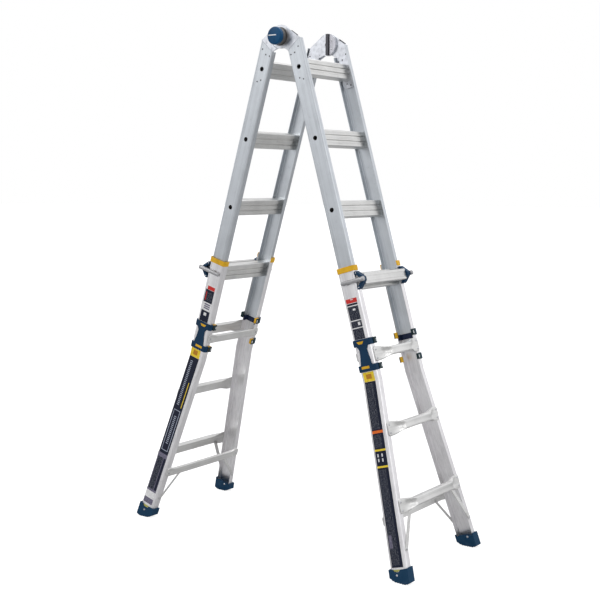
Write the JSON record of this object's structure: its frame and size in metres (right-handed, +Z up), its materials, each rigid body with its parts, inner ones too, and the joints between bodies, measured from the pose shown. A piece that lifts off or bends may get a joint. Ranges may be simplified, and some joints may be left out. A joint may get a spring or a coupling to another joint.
{
  "type": "multi position ladder",
  "caption": "Folding telescoping ladder in its A-frame stance, with ribbed rungs, flared outer legs, lock levers, push-knob hinges and rubber feet.",
  "frame": {"origin": "centre of the footprint on the floor, under the hinge axis", "axes": "+Z up; Y along the hinge axis, across the ladder; the two halves lean out along +X and -X"},
  "size_m": [1.4826, 0.5976, 2.203],
  "materials": {
    "mill_aluminium_rail": "extruded mill finish with fine lines along the rail",
    "mill_aluminium_rung": "extruded mill finish, slightly brighter than the rails",
    "plated_steel": "zinc plated, satin",
    "grey_zinc": "dull grey cast zinc",
    "navy_plastic": "moulded, fine grain",
    "blue_knob_plastic": "moulded, semi-gloss",
    "amber_plastic": "moulded, satin",
    "navy_rubber": "matt moulded rubber"
  },
  "bodies": {
    "inner_right": {"hinge_housing_far": "grey_zinc", "hinge_housing_near": "grey_zinc", "hinge_right_plate_far": "plated_steel", "hinge_right_plate_near": "plated_steel", "inner_right_rail_far": "mill_aluminium_rail", "inner_right_rail_near": "mill_aluminium_rail", "inner_right_rung_1": "mill_aluminium_rung", "inner_right_rung_2": "mill_aluminium_rung", "inner_right_rung_3": "mill_aluminium_rung", "inner_right_rung_4": "mill_aluminium_rung"},
    "inner_left": {"hinge_left_plate_far": "plated_steel", "hinge_left_plate_near": "plated_steel", "inner_left_rail_far": "mill_aluminium_rail", "inner_left_rail_near": "mill_aluminium_rail", "inner_left_rung_1": "mill_aluminium_rung", "inner_left_rung_2": "mill_aluminium_rung", "inner_left_rung_3": "mill_aluminium_rung", "inner_left_rung_4": "mill_aluminium_rung"},
    "outer_right": {"outer_right_back_bar_lower": "mill_aluminium_rung", "outer_right_back_bar_upper": "mill_aluminium_rung", "outer_right_chevron_far": "navy_plastic", "outer_right_chevron_near": "navy_plastic", "outer_right_end_cap_far": "amber_plastic", "outer_right_end_cap_near": "amber_plastic", "outer_right_foot_far": "navy_rubber", "outer_right_foot_near": "navy_rubber", "outer_right_front_rung_1": "mill_aluminium_rung", "outer_right_front_rung_2": "mill_aluminium_rung", "outer_right_front_rung_3": "mill_aluminium_rung", "outer_right_guide_far": "navy_plastic", "outer_right_guide_near": "navy_plastic", "outer_right_rail_far": "mill_aluminium_rail", "outer_right_rail_near": "mill_aluminium_rail", "outer_right_top_bar": "mill_aluminium_rung"},
    "outer_left": {"outer_left_back_bar_lower": "mill_aluminium_rung", "outer_left_back_bar_upper": "mill_aluminium_rung", "outer_left_chevron_far": "navy_plastic", "outer_left_chevron_near": "navy_plastic", "outer_left_end_cap_far": "amber_plastic", "outer_left_end_cap_near": "amber_plastic", "outer_left_foot_far": "navy_rubber", "outer_left_foot_near": "navy_rubber", "outer_left_front_rung_1": "mill_aluminium_rung", "outer_left_front_rung_2": "mill_aluminium_rung", "outer_left_front_rung_3": "mill_aluminium_rung", "outer_left_guide_far": "navy_plastic", "outer_left_guide_near": "navy_plastic", "outer_left_rail_far": "mill_aluminium_rail", "outer_left_rail_near": "mill_aluminium_rail", "outer_left_top_bar": "mill_aluminium_rung"},
    "knob_near": {"hinge_knob_near": "blue_knob_plastic", "hinge_lock_bar_near": "plated_steel"},
    "knob_far": {"hinge_knob_far": "blue_knob_plastic", "hinge_lock_bar_far": "plated_steel"},
    "lever_right_near": {"lock_lever_right_near": "grey_zinc"},
    "lever_right_far": {"lock_lever_right_far": "grey_zinc"},
    "lever_left_near": {"lock_lever_left_near": "grey_zinc"},
    "lever_left_far": {"lock_lever_left_far": "grey_zinc"}
  },
  "joints": [
    {"name": "fold", "type": "hinge", "parent": "inner_right", "child": "inner_left", "pos_m": [0, 0, 2.155], "axis": [0, 1, 0], "range_deg": [-33, 147]},
    {"name": "extend_right", "type": "slide", "parent": "inner_right", "child": "outer_right", "axis": [-0.284, 0, 0.9588], "range_m": [0, 0.9144]},
    {"name": "extend_left", "type": "slide", "parent": "inner_left", "child": "outer_left", "axis": [0.284, 0, 0.9588], "range_m": [0, 0.9144]},
    {"name": "push_knob_near", "type": "slide", "parent": "inner_right", "child": "knob_near", "axis": [0, 1, 0], "range_m": [0, 0.009], "stiffness_N_per_m": 1500, "springref_m": -0.006},
    {"name": "push_knob_far", "type": "slide", "parent": "inner_right", "child": "knob_far", "axis": [0, -1, 0], "range_m": [0, 0.009], "stiffness_N_per_m": 1500, "springref_m": -0.006},
    {"name": "rock_right_near", "type": "hinge", "parent": "outer_right", "child": "lever_right_near", "pos_m": [0.42503, -0.1885, 1.17079], "axis": [-0.284, 0, 0.9588], "range_deg": [0, 16], "stiffness_Nm_per_rad": 1.2, "springref_deg": -17.19},
    {"name": "rock_right_far", "type": "hinge", "parent": "outer_right", "child": "lever_right_far", "pos_m": [0.42503, 0.1885, 1.17079], "axis": [0.284, 0, -0.9588], "range_deg": [0, 16], "stiffness_Nm_per_rad": 1.2, "springref_deg": -17.19},
    {"name": "rock_left_near", "type": "hinge", "parent": "outer_left", "child": "lever_left_near", "pos_m": [-0.42503, -0.1885, 1.17079], "axis": [-0.284, 0, -0.9588], "range_deg": [0, 16], "stiffness_Nm_per_rad": 1.2, "springref_deg": -17.19},
    {"name": "rock_left_far", "type": "hinge", "parent": "outer_left", "child": "lever_left_far", "pos_m": [-0.42503, 0.1885, 1.17079], "axis": [0.284, 0, 0.9588], "range_deg": [0, 16], "stiffness_Nm_per_rad": 1.2, "springref_deg": -17.19}
  ]
}
